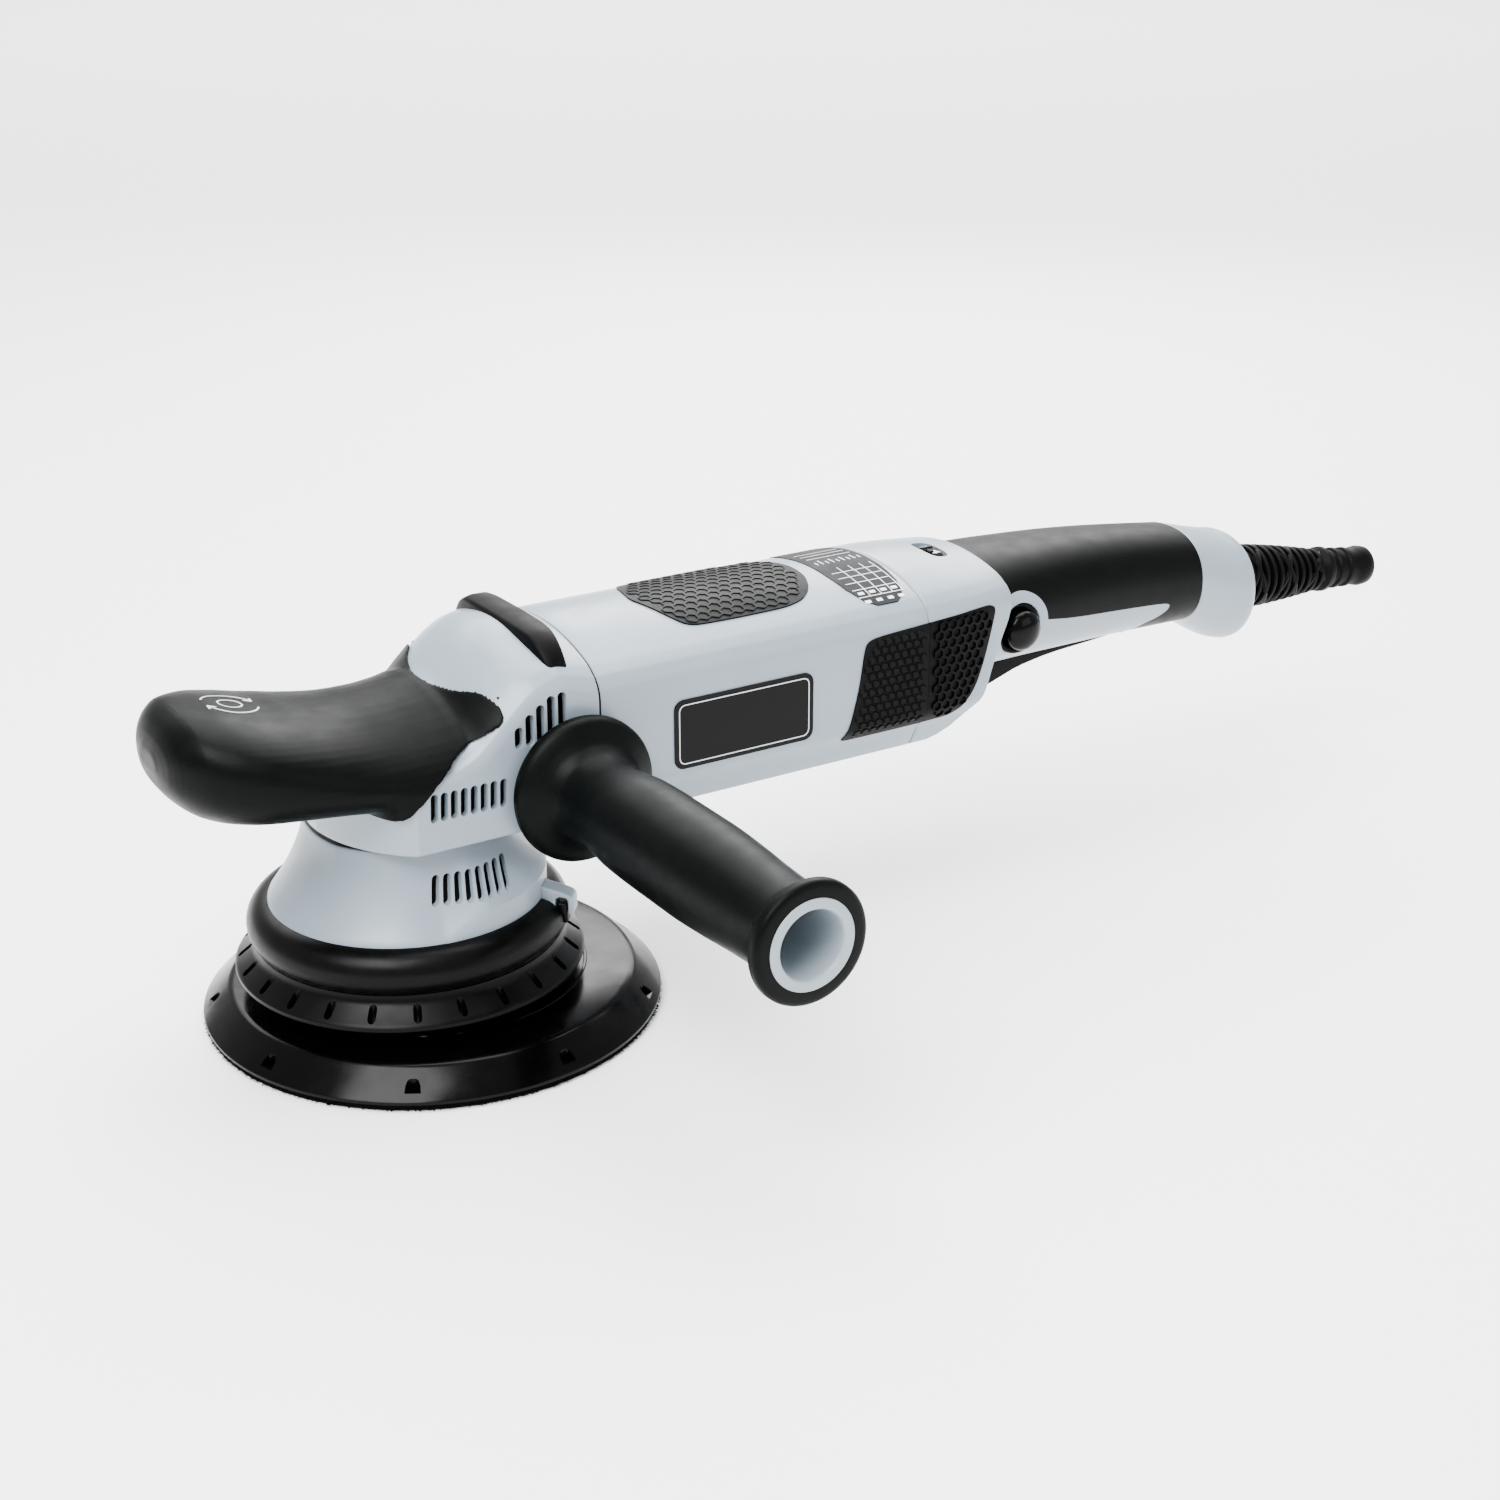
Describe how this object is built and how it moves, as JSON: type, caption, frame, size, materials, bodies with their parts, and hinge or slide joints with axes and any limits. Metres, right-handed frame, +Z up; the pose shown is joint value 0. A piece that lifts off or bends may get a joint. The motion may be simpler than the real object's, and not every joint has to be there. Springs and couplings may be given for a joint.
{
  "type": "dual action polisher",
  "caption": "Corded dual-action polisher: round hook-faced disc on an orbiting spindle under a motor body with a front palm grip, side handle, trigger grip and ribbed cable boot.",
  "frame": {"origin": "where the drive spindle axis meets the working face of the hook disc", "axes": "+Z up along the drive spindle, +X towards the cable end, -Y to the side that carries the side handle and the lock button"},
  "size_m": [0.5111, 0.2464, 0.1293],
  "materials": {
    "grey_shell": "light blue-grey moulded shell, satin gloss",
    "grey_plastic": "mid-grey moulded core",
    "black_rubber": "soft-touch overmould, satin",
    "gloss_rubber": "smooth, slightly shiny",
    "black_plastic": "moulded, fine texture",
    "gloss_black": "polished",
    "hook_fabric": "hook disc with a fuzzy edge",
    "ivory_plastic": "moulded",
    "steel": "ground and turned",
    "cast_alloy": "die cast, bead blasted",
    "copper": "varnished copper",
    "carbon": "pressed carbon",
    "label": "printed film with light lines only",
    "board": "circuit board"
  },
  "bodies": {
    "tool_body": {"spindle_lower_bearing": "steel", "spindle_upper_bearing": "steel", "vent_ring": "black_plastic", "bumper_ring": "gloss_rubber", "skirt": "grey_shell", "bearing_plate": "cast_alloy", "gear_case": "cast_alloy", "gear_case_screws": "steel", "head_cover": "grey_shell", "top_ridge": "black_rubber", "palm_grip": "black_rubber", "front_motor_bearing": "steel", "rear_motor_bearing": "steel", "bearing_bracket": "black_plastic", "stator_core": "steel", "field_coils": "copper", "fan_baffle": "black_plastic", "brush_holders": "cast_alloy", "carbon_brushes": "carbon", "motor_housing": "grey_shell", "top_pad": "black_rubber", "rating_label": "label", "badges": "gloss_black", "side_pads": "black_plastic", "rear_housing": "grey_shell", "intake_grilles": "black_plastic", "speed_board": "board", "handle_frame": "grey_shell", "handle_grip": "black_rubber", "trigger_pin": "steel", "trigger_spring": "steel", "switch_body": "black_plastic", "end_cap": "grey_shell", "cord_clamp": "black_plastic", "cable_boot": "black_rubber", "side_handle_stud": "steel", "side_handle_core": "grey_plastic", "side_handle_grip": "black_rubber"},
    "pad": {"hook_face": "hook_fabric", "backing_plate": "gloss_black", "plate_bolt": "steel", "plate_washer": "steel", "pad_spindle": "steel"},
    "spindle": {"pad_bearings": "steel", "counterweight": "steel", "spindle_shaft": "steel", "gear_nut": "steel", "crown_gear": "steel"},
    "armature": {"motor_shaft": "steel", "pinion_gear": "steel", "armature_core": "steel", "armature_windings": "copper", "commutator": "copper", "cooling_fan": "black_plastic"},
    "trigger": {"trigger": "black_plastic"},
    "plunger": {"switch_plunger": "ivory_plastic"},
    "lock": {"lock_button": "black_plastic", "lock_spring": "steel"},
    "dial": {"speed_dial": "black_plastic"}
  },
  "joints": [
    {"name": "spindle_spin", "type": "hinge", "parent": "tool_body", "child": "spindle", "pos_m": [0, 0, 0.05], "axis": [0, 0, 1], "continuous": true},
    {"name": "pad_spin", "type": "hinge", "parent": "spindle", "child": "pad", "pos_m": [0.0075, 0, 0.02], "axis": [0, 0, 1], "continuous": true},
    {"name": "armature_spin", "type": "hinge", "parent": "tool_body", "child": "armature", "pos_m": [0.1, 0, 0.093], "axis": [1, 0, 0], "continuous": true},
    {"name": "trigger_press", "type": "hinge", "parent": "tool_body", "child": "trigger", "pos_m": [0.288, 0, 0.081], "axis": [0, 1, 0], "range_deg": [0, 5], "stiffness_Nm_per_rad": 4, "springref_deg": -2.86, "deforming": ["trigger_spring"]},
    {"name": "plunger_slide", "type": "slide", "parent": "tool_body", "child": "plunger", "axis": [0, 0, 1], "range_m": [0, 0.0029]},
    {"name": "lock_press", "type": "slide", "parent": "tool_body", "child": "lock", "axis": [0, 1, 0], "range_m": [0, 0.0035], "stiffness_N_per_m": 300, "springref_m": -0.004},
    {"name": "dial_turn", "type": "hinge", "parent": "tool_body", "child": "dial", "pos_m": [0.2045, -0.0035, 0.1123], "axis": [1, 0, 0], "range_deg": [-135, 135]}
  ],
  "couplings": [
    {"joint": "armature_spin", "follows": "spindle_spin", "ratio": 4},
    {"joint": "plunger_slide", "follows": "trigger_press", "m_per_rad": 0.032}
  ]
}
